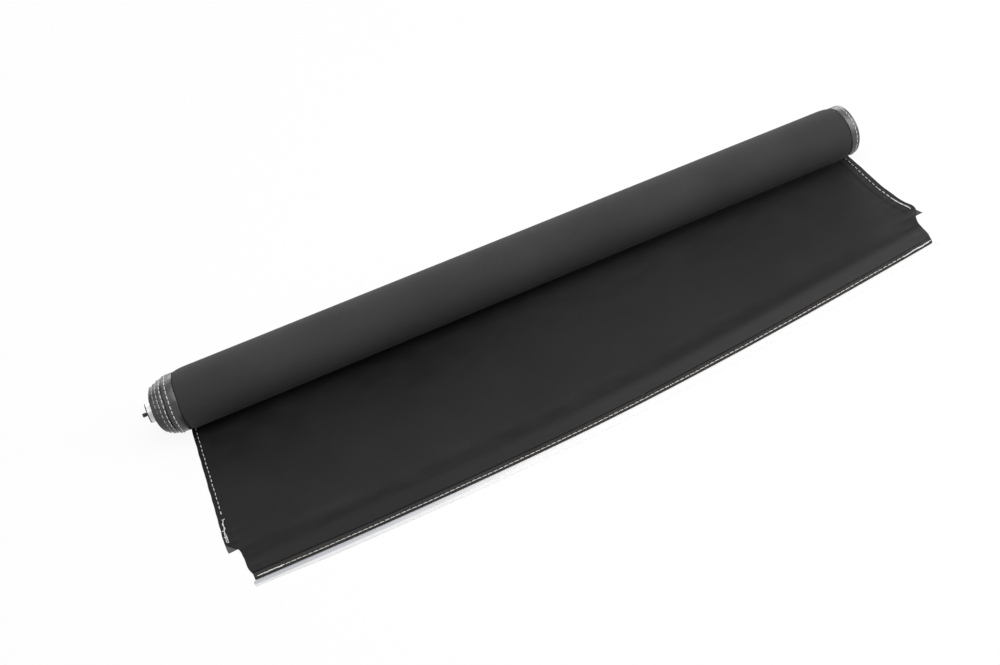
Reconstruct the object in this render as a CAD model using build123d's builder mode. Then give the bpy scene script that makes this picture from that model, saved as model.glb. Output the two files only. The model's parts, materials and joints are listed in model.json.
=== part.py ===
from build123d import *
import os
from math import exp, pi

# A spring-roller tonneau cover, lying part unrolled on a flat surface.
# +X runs along the roller to its spring end, -Y towards the cover's front edge, +Z up.
# The origin is on the surface, under the middle of the roller's axis.

os.makedirs("parts", exist_ok=True)

# Cover cloth
cloth_thickness = 1.0
cover_half_width = 500.0  # where the free part leaves the roll
ear_flare = 21.0  # how much further out the ears stand, near the front edge
ear_distance = 211.0  # from the roll's contact line to the ends of the ears
ear_cut_length = 14.0
ear_cut_width = 9.0
notch_flare = 6.5
notch_curve = 1.0
corner_flare = 2.5
corner_distance = 273.0
front_bow = 24.0  # how far the middle of the front edge stands ahead of its corners
lay_angle = 5.2  # the free part lies turned by this much on the surface
tail_length = 8.0  # free sheet under the roll, behind its contact line

# Hems and thread
hem_tape_width = 15.0
hem_tape_thickness = 0.6
hem_step_width = 2.0
front_hem_width = 11.0
front_hem_layers = 2
thread_width = 0.9
thread_height = 0.4
side_stitch_inset = 4.6
front_stitch_inset = 3.8
thread_start = 20.0  # the free threads start this far ahead of the contact line
thread_end_gap = 6.0

# Clear strip along the front edge
strip_thickness = 0.8
strip_overlap = 9.0
strip_reach = 12.5
strip_overhang = 4.5  # the strip's ends stand this far past the cover's corners

# Roll of cloth
roll_radius = 42.0
outer_half_turns = 12
outer_pitch = 2.6
inner_half_turns = 4
end_drop = 2.4  # the roll is this much slimmer in radius at its hems
shoulder_length = 30.0
skew_reach = 23.0  # the inner turns lie this much further to the left
skew_turns = 2.1  # most of that within this many turns
roll_clearance = 0.3

# Roller tube
tube_radius = 14.0
tube_wall = 1.2
tube_left_overhang = 21.0  # past the outer turn's left edge
tube_right_recess = 18.0  # inside the outer turn's right edge
cloth_on_tube_clearance = 0.3
spline_radius = 1.5
spline_clearance = 0.3
spline_depth = 2.1  # from the tube's surface to the spline's axis
groove_wall = 1.0
slot_width = 1.6
spline_recess = 25.0  # the spline stops this far inside the outer turn's edges
plug_fit = 0.1
groove_fit = 0.2

# Left end, with its sprung idler pin
left_plug_body = 36.0
left_collar_length = 8.0
left_plug_floor = 2.0
idler_bore_radius = 4.5
disc_radius = 13.6
disc_thickness = 1.5
disc_rim_radius = 0.5
disc_hole_radius = 3.3
bush_length = 29.0
bush_mouth_radius = 3.1
bush_mouth_clearance = 1.3  # left behind the pin's head when it is pushed in
bush_fit = 0.04
pin_head_radius = 2.9
pin_head_length = 5.5
pin_head_chamfer = 0.5
pin_head_stand_off = 2.0
pin_shaft_radius = 2.1
pin_collar_radius = 4.2
pin_collar_length = 2.0
pin_tail_length = 4.0
pin_travel = 5.0
pin_spring_radius = 3.3
pin_spring_wire = 0.7
pin_spring_turns = 5

# Right end, with the fixed spindle
right_plug_body = 26.0
right_collar_length = 4.0
right_bush_radius = 6.0
right_bush_flange_radius = 8.5
right_bush_flange = 1.5
spindle_radius = 4.0
running_fit = 0.05
spindle_reach = 18.0  # past the right collar
spindle_chamfer = 0.5
tang_length = 12.0
tang_thickness = 5.0
clip_radius = 7.0
clip_thickness = 1.0
clip_groove_radius = 3.2
clip_gap = 0.3
clip_mouth = 5.4

# Torsion spring
hub_length = 26.0
hub_gap = 2.3
washer_thickness = 2.0
washer_radius = 9.0
hub_pin_radius = 1.25
spring_wire = 1.2
spring_coil_fit = 0.05
spring_grip = 12.0
spring_turns = 36
spring_length = 240.0
anchor_length = 30.0
spindle_inner_reach = 20.0
sleeve_wall = 0.3
sleeve_fit = 0.15
sleeve_groove_clearance = 0.25  # to the wall of the tube's groove
sleeve_margin = 4.0

# Rivets that hold the three plugs
rivet_radius = 1.6
rivet_inner_radius = 10.0
rivet_from_end = 10.0

# Worked-out values
ear_half_width = cover_half_width + ear_flare
notch_half_width = cover_half_width + notch_flare
corner_half_width = cover_half_width + corner_flare
strip_half_length = corner_half_width + strip_overhang
wound_half_width = cover_half_width + hem_tape_width
spline_half_length = wound_half_width - spline_recess
tube_left = -wound_half_width - tube_left_overhang
tube_right = wound_half_width - tube_right_recess
axis_height = roll_radius + cloth_thickness + roll_clearance
sheet_plane = Plane.XY.rotated((0, 0, lay_angle))
edge_slope = ear_flare / ear_distance
front_hem_thickness = front_hem_layers * cloth_thickness
front_hem_top = strip_thickness + front_hem_thickness
sheet_edge_top = hem_tape_thickness + cloth_thickness
tube_bore = tube_radius - tube_wall
plug_radius = tube_bore - plug_fit
groove_radius = spline_radius + spline_clearance
groove_outer = groove_radius + groove_wall
spline_offset = tube_radius - spline_depth
inner_radius = tube_radius + cloth_on_tube_clearance + cloth_thickness
collar_left = tube_left - left_collar_length
disc_left = collar_left - disc_thickness
pin_head_right = disc_left - pin_head_stand_off
pin_head_left = pin_head_right - pin_head_length
bush_mouth_depth = pin_travel - pin_head_stand_off - disc_thickness + bush_mouth_clearance
bush_right = collar_left + bush_length
pin_collar_right = bush_right + pin_collar_length
plug_inner_end = tube_left + left_plug_body
spring_seat = plug_inner_end - left_plug_floor
collar_right = tube_right + right_collar_length
spindle_right = collar_right + spindle_reach
right_plug_left = tube_right - right_plug_body
washer_left = right_plug_left - washer_thickness
hub_right = washer_left - hub_gap
hub_left = hub_right - hub_length
sleeve_outer = spline_offset - groove_outer - sleeve_groove_clearance
sleeve_radius = sleeve_outer - sleeve_wall
spring_radius = sleeve_radius - sleeve_fit - spring_wire / 2
grip_radius = spring_radius - spring_wire / 2 - spring_coil_fit
spring_right = hub_left + spring_grip
spring_left = spring_right - spring_length
anchor_right = spring_left + spring_grip
anchor_body_right = spring_left
anchor_left = anchor_body_right - anchor_length
spindle_left = anchor_body_right - spindle_inner_reach
clip_left = collar_right + right_bush_flange + clip_gap
rivet_rows = (
    tube_left + rivet_from_end,
    anchor_left + rivet_from_end,
    tube_right - rivet_from_end,
)


def cross_plane(x):
    """A plane across the roller, with its origin on the roller's axis."""
    return Plane((x, 0, axis_height), x_dir=(0, 1, 0), z_dir=(1, 0, 0))


def save(builder, name):
    """Labels a finished piece and writes its file."""
    builder.part.label = name
    export_step(builder.part, f"parts/{name}.step")


# Spiral of the wound cloth, in half turns from the outside in
def boundary_radii():
    """The cloth's outer radius at the start and end of each half turn."""
    radii = [roll_radius - outer_pitch / 2 * half for half in range(outer_half_turns + 1)]
    inner_step = (radii[-1] - inner_radius) / inner_half_turns
    radii += [radii[-1] - inner_step * (half + 1) for half in range(inner_half_turns)]
    return radii


half_turn_radii = boundary_radii()
half_turns = len(half_turn_radii) - 1


def turn_radius(half):
    return (half_turn_radii[half] + half_turn_radii[half + 1]) / 2


def turn_drop(half):
    share = (turn_radius(half) - inner_radius) / (roll_radius - inner_radius)
    return end_drop * share


def turn_shift(half):
    turns = max(half / 2 - 0.25, 0)
    return skew_reach * (1 - exp(-turns / skew_turns))


def half_turn(half, points):
    """Revolves a profile of (x, radius) points through half a turn of the spiral."""
    starts_below = half % 2 == 0
    step = (half_turn_radii[half] - half_turn_radii[half + 1]) / 2
    centre = axis_height + (-step if starts_below else step)
    side = -1 if starts_below else 1
    with BuildSketch(Plane.XZ) as profile:
        with BuildLine():
            Polyline([(x, centre + side * radius) for x, radius in points], close=True)
        make_face()
    revolve(profile.sketch, axis=Axis((0, 0, centre), (1, 0, 0)), revolution_arc=180)


def cloth_profile(half):
    """The cloth's section across the roll, slimmer over its hems."""
    left = -wound_half_width - turn_shift(half)
    right = wound_half_width - turn_shift(half)
    middle = turn_radius(half)
    end = middle - turn_drop(half)
    shoulder = hem_tape_width + shoulder_length
    outside = [
        (left, end),
        (left + hem_tape_width, end),
        (left + shoulder, middle),
        (right - shoulder, middle),
        (right - hem_tape_width, end),
        (right, end),
    ]
    inside = [(x, radius - cloth_thickness) for x, radius in reversed(outside)]
    return outside + inside


def band_profile(half, side, inset, width, lift, height):
    """A flat band on the outside of the cloth, at its left (-1) or right (1) edge."""
    edge = side * wound_half_width - turn_shift(half)
    base = turn_radius(half) - turn_drop(half) + lift
    near = edge - side * inset
    far = near - side * width
    return [(near, base), (far, base), (far, base + height), (near, base + height)]


with BuildPart() as wound_cover:
    for half in range(half_turns):
        half_turn(half, cloth_profile(half))
    tab_bottom = axis_height - inner_radius
    tab_top = axis_height - spline_offset - spline_radius
    with BuildSketch(Plane.YZ.offset(-spline_half_length)):
        with Locations((cloth_thickness / 2, (tab_bottom + tab_top) / 2)):
            Rectangle(cloth_thickness, tab_top - tab_bottom)
    extrude(amount=2 * spline_half_length)
save(wound_cover, "wound_cover")

for side, word in ((-1, "left"), (1, "right")):
    with BuildPart() as wound_hem:
        for half in range(half_turns):
            half_turn(half, band_profile(half, side, 0, hem_tape_width, 0, hem_tape_thickness))
    save(wound_hem, f"wound_{word}_hem")
    with BuildPart() as wound_thread:
        for half in range(half_turns):
            stitch = side_stitch_inset - thread_width / 2
            half_turn(half, band_profile(half, side, stitch, thread_width, hem_tape_thickness, thread_height))
    save(wound_thread, f"wound_{word}_thread")


# Free part of the cover, drawn in its own turned plane
def edge_x(y):
    """Half the cover's width at a distance y along its length, without the ear's cut."""
    return cover_half_width - edge_slope * y


def front_arc(inset, half_length):
    """A curve parallel to the bowed front edge, inset from it towards the roll."""
    ends = -corner_distance + inset
    return (-half_length, ends), (0, ends - front_bow), (half_length, ends)


def front_band(height, outer_inset, inner_inset, outer_half_length, inner_half_length):
    """A band along the front edge, between two curves parallel to it."""
    outer = front_arc(outer_inset, outer_half_length)
    inner = front_arc(inner_inset, inner_half_length)
    with BuildSketch(sheet_plane.offset(height)) as band:
        with BuildLine():
            ThreePointArc(*outer)
            Line(outer[2], inner[2])
            ThreePointArc(*reversed(inner))
            Line(inner[0], outer[0])
        make_face()
    return band.sketch


def side_band(height, side, inset, width, start, end):
    """A band along a side edge of the free sheet."""
    corners = ((inset, start), (inset + width, start), (inset + width, end), (inset, end))
    with BuildSketch(sheet_plane.offset(height)) as band:
        with BuildLine():
            Polyline([(side * (edge_x(y) - depth), y) for depth, y in corners], close=True)
        make_face()
    return band.sketch


back_line = cover_half_width / 2
ear_end = -ear_distance
hem_front = front_arc(front_hem_width, notch_half_width)
with BuildPart() as free_sheet:
    with BuildSketch(sheet_plane):
        with BuildLine():
            ThreePointArc(*hem_front)
            for side in (-1, 1):
                ear = (side * edge_x(ear_end + ear_cut_length), ear_end + ear_cut_length)
                cut = (side * (edge_x(ear_end) - ear_cut_width), ear_end)
                notch = (side * notch_half_width, hem_front[0][1])
                bend = ((cut[0] + notch[0]) / 2 - side * notch_curve, (cut[1] + notch[1]) / 2)
                ThreePointArc(notch, bend, cut)
                Polyline(cut, ear, (side * edge_x(back_line), back_line))
            Line((-edge_x(back_line), back_line), (edge_x(back_line), back_line))
        make_face()
    extrude(amount=cloth_thickness)
    for side in (-1, 1):
        ear_start = ear_end + ear_cut_length
        tape_band = side_band(0, side, 0, hem_tape_width, back_line, ear_end)
        edge_band = side_band(hem_tape_thickness, side, 0, hem_tape_width, back_line, ear_start)
        step_band = side_band(0, side, hem_tape_width, hem_step_width, back_line, ear_start)
        extrude(tape_band, amount=hem_tape_thickness, mode=Mode.SUBTRACT)
        extrude(edge_band, amount=cloth_thickness)
        extrude(step_band, amount=sheet_edge_top)
    split(bisect_by=Plane.XZ.offset(-tail_length), keep=Keep.TOP)
save(free_sheet, "free_sheet")

for side, word in ((-1, "left"), (1, "right")):
    with BuildPart() as free_hem:
        extrude(side_band(0, side, 0, hem_tape_width, back_line, ear_end), amount=hem_tape_thickness)
        split(bisect_by=Plane.XZ.offset(-tail_length), keep=Keep.TOP)
    save(free_hem, f"free_{word}_hem")
    with BuildPart() as free_thread:
        stitch = side_stitch_inset - thread_width / 2
        thread_end = ear_end + ear_cut_length + thread_end_gap
        stitch_band = side_band(sheet_edge_top, side, stitch, thread_width, back_line, thread_end)
        extrude(stitch_band, amount=thread_height)
        split(bisect_by=Plane.XZ.offset(thread_start), keep=Keep.TOP)
    save(free_thread, f"free_{word}_thread")

# Front edge: clear strip, folded hem over it and the thread that holds both
strip_band = front_band(0, -strip_reach, strip_overlap, strip_half_length, strip_half_length)
with BuildPart() as edge_strip:
    extrude(strip_band, amount=strip_thickness)
save(edge_strip, "edge_strip")

with BuildPart() as front_hem:
    extrude(front_band(0, 0, front_hem_width, corner_half_width, notch_half_width), amount=front_hem_top)
    extrude(strip_band, amount=strip_thickness, mode=Mode.SUBTRACT)
save(front_hem, "front_hem")

front_stitch = front_stitch_inset - thread_width / 2
front_thread_half = corner_half_width - thread_end_gap
with BuildPart() as front_thread:
    thread_band = (front_stitch, front_stitch + thread_width, front_thread_half, front_thread_half)
    extrude(front_band(front_hem_top, *thread_band), amount=thread_height)
save(front_thread, "front_thread")


# Roller tube, with the groove that holds the cloth's spline
def rivet_holes():
    """Cross holes for the rivets, in the rows that reach the piece."""
    for x in rivet_rows:
        with Locations(Location((x, 0, axis_height), (90, 0, 0))):
            Cylinder(rivet_radius, 3 * tube_radius, mode=Mode.SUBTRACT)


def groove_clearance(left, right):
    """Room for the tube's inner groove in a piece that fills the bore."""
    with BuildSketch(cross_plane(left)) as room:
        with Locations((cloth_thickness / 2, -spline_offset)):
            Circle(groove_outer + groove_fit)
    extrude(room.sketch, amount=right - left, mode=Mode.SUBTRACT)


with BuildPart() as roller_tube:
    with BuildSketch(cross_plane(tube_left)):
        Circle(tube_radius)
        Circle(tube_bore, mode=Mode.SUBTRACT)
        with Locations((cloth_thickness / 2, -spline_offset)):
            Circle(groove_outer)
            Circle(groove_radius, mode=Mode.SUBTRACT)
        with Locations((cloth_thickness / 2, -tube_radius)):
            Rectangle(slot_width, 2 * spline_depth, mode=Mode.SUBTRACT)
    extrude(amount=tube_right - tube_left)
    with BuildSketch(cross_plane(tube_left)):
        Circle(2 * tube_radius)
        Circle(tube_radius, mode=Mode.SUBTRACT)
    extrude(amount=tube_right - tube_left, mode=Mode.SUBTRACT)
    rivet_holes()
save(roller_tube, "roller_tube")

with BuildPart() as cloth_spline:
    with BuildSketch(cross_plane(-spline_half_length)):
        with Locations((cloth_thickness / 2, -spline_offset)):
            Circle(spline_radius)
    extrude(amount=2 * spline_half_length)
save(cloth_spline, "cloth_spline")


# Left end: plug, disc, bush, sprung pin
def rod(x_from, x_to, radius, mode=Mode.ADD):
    """A round length on the roller's axis."""
    with BuildSketch(cross_plane(x_from)) as section:
        Circle(radius)
    extrude(section.sketch, amount=x_to - x_from, mode=mode)


with BuildPart() as left_end_plug:
    rod(tube_left, plug_inner_end, plug_radius)
    groove_clearance(tube_left, plug_inner_end)
    rod(collar_left, tube_left, tube_radius)
    rod(collar_left, spring_seat, idler_bore_radius, Mode.SUBTRACT)
    rivet_holes()
save(left_end_plug, "left_end_plug")

with BuildPart() as left_end_disc:
    rod(disc_left, collar_left, disc_radius)
    rod(disc_left, collar_left, disc_hole_radius, Mode.SUBTRACT)
    outer_face_rims = left_end_disc.edges().filter_by(GeomType.CIRCLE).group_by(Axis.X)[0]
    outer_rim = outer_face_rims.sort_by(SortBy.RADIUS)[-1]
    fillet(outer_rim, disc_rim_radius)
save(left_end_disc, "left_end_disc")

with BuildPart() as idler_bush:
    rod(collar_left, bush_right, idler_bore_radius - bush_fit)
    rod(collar_left, bush_right, pin_shaft_radius + running_fit, Mode.SUBTRACT)
    rod(collar_left, collar_left + bush_mouth_depth, bush_mouth_radius, Mode.SUBTRACT)
save(idler_bush, "idler_bush")

with BuildPart() as idler_pin:
    rod(pin_head_left, pin_head_right, pin_head_radius)
    head_rims = idler_pin.edges().filter_by(GeomType.CIRCLE)
    chamfer(head_rims, pin_head_chamfer)
    rod(pin_head_right, pin_collar_right + pin_tail_length, pin_shaft_radius)
    rod(bush_right, pin_collar_right, pin_collar_radius)
save(idler_pin, "idler_pin")

pin_spring_left = pin_collar_right + pin_spring_wire / 2
pin_spring_length = spring_seat - pin_spring_wire / 2 - pin_spring_left
with BuildPart() as idler_pin_spring:
    with BuildLine() as pin_coil:
        pin_spring_start = (pin_spring_left, 0, axis_height)
        pin_spring_pitch = pin_spring_length / pin_spring_turns
        Helix(pin_spring_pitch, pin_spring_length, pin_spring_radius, pin_spring_start, (1, 0, 0))
    with BuildSketch(Plane(pin_coil.line @ 0, z_dir=pin_coil.line % 0)):
        Circle(pin_spring_wire / 2)
    sweep(path=pin_coil.line, is_frenet=True)
save(idler_pin_spring, "idler_pin_spring")

# Right end: plug, bush, washer, clip and the fixed spindle
with BuildPart() as right_end_plug:
    rod(right_plug_left, tube_right, plug_radius)
    groove_clearance(right_plug_left, tube_right)
    rod(tube_right, collar_right, tube_radius)
    rod(right_plug_left, collar_right, right_bush_radius + bush_fit, Mode.SUBTRACT)
    rivet_holes()
save(right_end_plug, "right_end_plug")

with BuildPart() as right_bush:
    rod(right_plug_left, collar_right, right_bush_radius)
    rod(collar_right, collar_right + right_bush_flange, right_bush_flange_radius)
    rod(right_plug_left, collar_right + right_bush_flange, spindle_radius + running_fit, Mode.SUBTRACT)
save(right_bush, "right_bush")

with BuildPart() as thrust_washer:
    rod(washer_left, right_plug_left, washer_radius)
    rod(washer_left, right_plug_left, spindle_radius + running_fit, Mode.SUBTRACT)
save(thrust_washer, "thrust_washer")

hub_middle = (hub_right + spring_right) / 2
with BuildPart() as spindle_rod:
    rod(spindle_left, spindle_right, spindle_radius)
    chamfer(spindle_rod.edges().filter_by(GeomType.CIRCLE).group_by(Axis.X)[-1], spindle_chamfer)
    with BuildSketch(cross_plane(spindle_right - tang_length)):
        Rectangle(3 * spindle_radius, 3 * spindle_radius)
        Rectangle(3 * spindle_radius, tang_thickness, mode=Mode.SUBTRACT)
    extrude(amount=tang_length, mode=Mode.SUBTRACT)
    with BuildSketch(cross_plane(clip_left)):
        Circle(2 * spindle_radius)
        Circle(clip_groove_radius, mode=Mode.SUBTRACT)
    extrude(amount=clip_thickness, mode=Mode.SUBTRACT)
    with Locations((hub_middle, 0, axis_height)):
        Cylinder(hub_pin_radius, 3 * spindle_radius, mode=Mode.SUBTRACT)
save(spindle_rod, "spindle_rod")

with BuildPart() as spindle_clip:
    rod(clip_left, clip_left + clip_thickness, clip_radius)
    rod(clip_left, clip_left + clip_thickness, clip_groove_radius, Mode.SUBTRACT)
    with BuildSketch(cross_plane(clip_left)):
        with Locations((0, clip_radius)):
            Rectangle(clip_mouth, 2 * clip_radius)
    extrude(amount=clip_thickness, mode=Mode.SUBTRACT)
save(spindle_clip, "spindle_clip")

with BuildPart() as spring_hub:
    rod(hub_left, spring_right, grip_radius)
    rod(spring_right, hub_right, spring_radius + spring_wire / 2)
    rod(hub_left, hub_right, spindle_radius, Mode.SUBTRACT)
    with Locations((hub_middle, 0, axis_height)):
        Cylinder(hub_pin_radius, 3 * tube_radius, mode=Mode.SUBTRACT)
save(spring_hub, "spring_hub")

with BuildPart() as hub_pin:
    with Locations((hub_middle, 0, axis_height)):
        Cylinder(hub_pin_radius, 2 * spring_radius)
save(hub_pin, "hub_pin")

with BuildPart() as spring_anchor_plug:
    rod(anchor_left, anchor_body_right, plug_radius)
    groove_clearance(anchor_left, anchor_body_right)
    rod(anchor_body_right, anchor_right, grip_radius)
    rod(anchor_left, anchor_right, spindle_radius + running_fit, Mode.SUBTRACT)
    rivet_holes()
save(spring_anchor_plug, "spring_anchor_plug")

coil_left = spring_left + spring_wire / 2 + roll_clearance
coil_length = spring_right - spring_wire / 2 - roll_clearance - coil_left
with BuildPart() as torsion_spring:
    with BuildLine() as coil:
        coil_start = (coil_left, 0, axis_height)
        Helix(coil_length / spring_turns, coil_length, spring_radius, coil_start, (1, 0, 0))
    with BuildSketch(Plane(coil.line @ 0, z_dir=coil.line % 0)):
        Circle(spring_wire / 2)
    sweep(path=coil.line, is_frenet=True)
save(torsion_spring, "torsion_spring")

with BuildPart() as spring_sleeve:
    rod(spring_left + sleeve_margin, spring_right - sleeve_margin, sleeve_outer)
    rod(spring_left + sleeve_margin, spring_right - sleeve_margin, sleeve_radius, Mode.SUBTRACT)
save(spring_sleeve, "spring_sleeve")

# Rivets of the three plugs, one node
with BuildPart() as plug_rivets:
    rivet_length = tube_radius - rivet_inner_radius
    for x in rivet_rows:
        for side in (-1, 1):
            middle = (x, side * (rivet_inner_radius + rivet_length / 2), axis_height)
            with Locations(Location(middle, (90, 0, 0))):
                Cylinder(rivet_radius, rivet_length)
save(plug_rivets, "plug_rivets")

wound_length = sum(pi * turn_radius(half) for half in range(half_turns))
print(f"cloth on the roll {wound_length:.0f} mm, roller axis {axis_height:.1f} mm up")
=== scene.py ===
import json
from math import atan2, cos, pi, radians, sin, tau

import bpy
import numpy as np
from mathutils import Matrix, Vector


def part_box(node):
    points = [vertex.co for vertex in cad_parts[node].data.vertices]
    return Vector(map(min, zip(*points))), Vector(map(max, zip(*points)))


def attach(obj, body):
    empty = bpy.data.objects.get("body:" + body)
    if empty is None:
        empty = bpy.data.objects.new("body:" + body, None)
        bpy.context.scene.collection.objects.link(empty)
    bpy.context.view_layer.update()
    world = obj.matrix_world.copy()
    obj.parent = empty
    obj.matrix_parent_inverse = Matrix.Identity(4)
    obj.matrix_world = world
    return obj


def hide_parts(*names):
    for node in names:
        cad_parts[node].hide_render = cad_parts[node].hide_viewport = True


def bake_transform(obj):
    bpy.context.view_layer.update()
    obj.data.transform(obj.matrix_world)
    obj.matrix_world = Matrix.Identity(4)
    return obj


# A roller cover for a load bay, part unrolled on a white floor. Everything is in metres.
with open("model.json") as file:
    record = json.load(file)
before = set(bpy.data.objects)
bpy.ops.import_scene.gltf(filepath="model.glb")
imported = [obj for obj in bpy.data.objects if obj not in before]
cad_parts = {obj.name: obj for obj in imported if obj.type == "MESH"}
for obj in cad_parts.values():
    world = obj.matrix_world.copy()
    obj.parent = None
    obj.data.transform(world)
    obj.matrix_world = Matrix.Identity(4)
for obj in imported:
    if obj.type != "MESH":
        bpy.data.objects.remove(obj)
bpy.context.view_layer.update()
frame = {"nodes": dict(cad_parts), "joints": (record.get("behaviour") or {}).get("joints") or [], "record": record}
nodes = frame["nodes"]
joints = {joint["name"]: joint for joint in frame["joints"]}
mounts = {mount["name"]: mount for mount in frame["record"]["mounts"]}

axisHeight = joints["roller_turn"]["pos_m"][2]
stripDirection = mounts["strip_edge"]["axis"]
layAngle = atan2(stripDirection[1], stripDirection[0])  # the free part lies turned by this

# Camera, lamps and floor
view = {
    "place": (-0.27507, -1.98306, 1.85298),
    "heading": 6.509,
    "down": 43.911,
    "roll": -17.802,
    "lens": 69.67,
    "sensor": 36,
    "nearest": 0.05,
}
studio = {
    "skyStrength": (0.05, 0.64),
    "skyRise": (0, 0.75),
    "topLamp": {"place": (0.5, -0.5, 2.4), "aim": (0.1, -0.1, 0), "size": 2.6, "power": 33},
    "backLamp": {"place": (-0.6, 2.2, 1.5), "aim": (0, 0, 0.04), "size": 1.6, "power": 9},
    "sideLamp": {"place": (2.2, -0.9, 1.3), "aim": (0.35, -0.1, 0), "size": 1.5, "power": 18},
    "backPanel": {
        "place": (1.1, 2.6, 0.8), "aim": (0.1, 0, 0), "size": 4.2, "height": 1.6, "power": 66,
    },
    "rightPanel": {
        "place": (1.25, -1.3, 2.0), "aim": (0.5, 0, 0.08), "size": 1.2, "height": 2.4, "power": 26,
    },
    "floorSize": 60,
    "floorTone": 0.9,
    "floorGlow": 0.9,
    "floorDrop": 0.0002,
}


def addCamera():
    heading, down, roll = (radians(view[key]) for key in ("heading", "down", "roll"))
    forward = Vector((sin(heading) * cos(down), cos(heading) * cos(down), -sin(down)))
    level = Vector((cos(heading), -sin(heading), 0))
    upright = level.cross(forward)
    right = cos(roll) * level + sin(roll) * upright
    top = cos(roll) * upright - sin(roll) * level
    turn = Matrix((right, top, -forward)).transposed().to_4x4()
    bpy.ops.object.camera_add()
    camera = bpy.context.object
    camera.matrix_world = Matrix.Translation(view["place"]) @ turn
    camera.data.lens = view["lens"]
    camera.data.sensor_width = view["sensor"]
    camera.data.clip_start = view["nearest"]
    bpy.context.scene.camera = camera


def addLamp(name, settings):
    place = Vector(settings["place"])
    bpy.ops.object.light_add(type="AREA", location=place)
    lamp = bpy.context.object
    lamp.name = name
    lamp.rotation_euler = (Vector(settings["aim"]) - place).to_track_quat("-Z", "Y").to_euler()
    lamp.data.shape = "RECTANGLE" if "height" in settings else "DISK"
    lamp.data.size = settings["size"]
    lamp.data.size_y = settings.get("height", settings["size"])
    lamp.data.energy = settings["power"]
    return lamp


# Shader maths
class Wire:
    # a socket in a node tree; sums on wires add Math nodes
    def __init__(self, tree, socket=None):
        self.tree = tree
        self.socket = socket

    def node(self, kind, settings=None, inputs=None, output=0):
        made = self.tree.nodes.new("ShaderNode" + kind)
        for name, value in (settings or {}).items():
            setattr(made, name, value)
        for name, value in (inputs or {}).items():
            if isinstance(value, Wire):
                self.tree.links.new(value.socket, made.inputs[name])
            else:
                made.inputs[name].default_value = value
        return Wire(self.tree, made.outputs[output] if made.outputs else None)

    def math(self, operation, *values):
        return self.node("Math", {"operation": operation}, dict(enumerate(values)))

    def __add__(self, other):
        return self.math("ADD", self, other)

    def __sub__(self, other):
        return self.math("SUBTRACT", self, other)

    def __rsub__(self, other):
        return self.math("SUBTRACT", other, self)

    def __mul__(self, other):
        return self.math("MULTIPLY", self, other)

    __radd__ = __add__
    __rmul__ = __mul__


def startMaterial(name):
    material = bpy.data.materials.new(name)
    material.use_nodes = True
    material.node_tree.nodes.clear()
    wire = Wire(material.node_tree)
    wire.material = material
    return wire


def objectPlace(wire):
    return wire.node("TexCoord", output=3)


def cutPlace(wire):
    return wire.node("UVMap", {"uv_map": "cut"})  # the piece's flat cut, in metres


def split(wire, place):
    parts = wire.node("SeparateXYZ", inputs={0: place}).socket.node
    return [Wire(wire.tree, parts.outputs[index]) for index in range(3)]


def stretched(wire, place, scale):
    return wire.node("Mapping", inputs={"Vector": place, "Scale": scale})


def noise(wire, place, scale, detail=2.0, roughness=0.5):
    sockets = {"Vector": place, "Scale": scale, "Detail": detail, "Roughness": roughness}
    return wire.node("TexNoise", inputs=sockets)


def between(wire, value, low, high, newLow=0, newHigh=1.0):
    sockets = {0: value, 1: low, 2: high, 3: newLow, 4: newHigh}
    return wire.node("MapRange", {"interpolation_type": "SMOOTHSTEP"}, sockets)


def mixed(wire, factor, first, second):
    return wire.node("Mix", {"data_type": "RGBA"}, {0: factor, 6: first, 7: second}, 2)


def toned(wire, tone, look):
    return mixed(wire, tone, look["dark"], look["light"])


def grey(level, tint=(1, 1, 1)):
    return (*(level * share for share in tint), 1.0)


def endMaterial(wire, look, colour, uneven, height, more=None):
    # the gloss follows the uneven noise, and the relief the height
    relief = {"Height": height, "Distance": look["depth"], "Strength": look.get("bump", 1.0)}
    sockets = {
        "Base Color": colour,
        "Roughness": between(wire, uneven, 0.3, 0.7, *look["roughness"]),
        "Specular IOR Level": look.get("specular", 0.5),
        "Normal": wire.node("Bump", inputs=relief),
        **(more or {}),
    }
    shader = wire.node("BsdfPrincipled", inputs=sockets)
    wire.node("OutputMaterial", inputs={"Surface": shader})
    return wire.material


def seenRay(wire):
    # 1 on rays that show the stage, straight or in a finish, and 0 on those that only light things
    rays = wire.node("LightPath").socket.node
    kinds = ("Is Camera Ray", "Is Glossy Ray", "Is Transmission Ray")
    direct, mirrored, through = (Wire(wire.tree, rays.outputs[kind]) for kind in kinds)
    return wire.math("MINIMUM", direct + mirrored + through, 1.0)


# Stage
def floorMaterial():
    wire = startMaterial("studioFloor")
    glowShare = seenRay(wire) * studio["floorGlow"]
    matt = wire.node("BsdfDiffuse", inputs={"Color": grey(studio["floorTone"])})
    glow = wire.node("Emission", inputs={"Color": grey(1.0), "Strength": 1.0})
    both = wire.node("MixShader", inputs={0: glowShare, 1: matt, 2: glow})
    wire.node("OutputMaterial", inputs={"Surface": both})
    return wire.material


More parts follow.
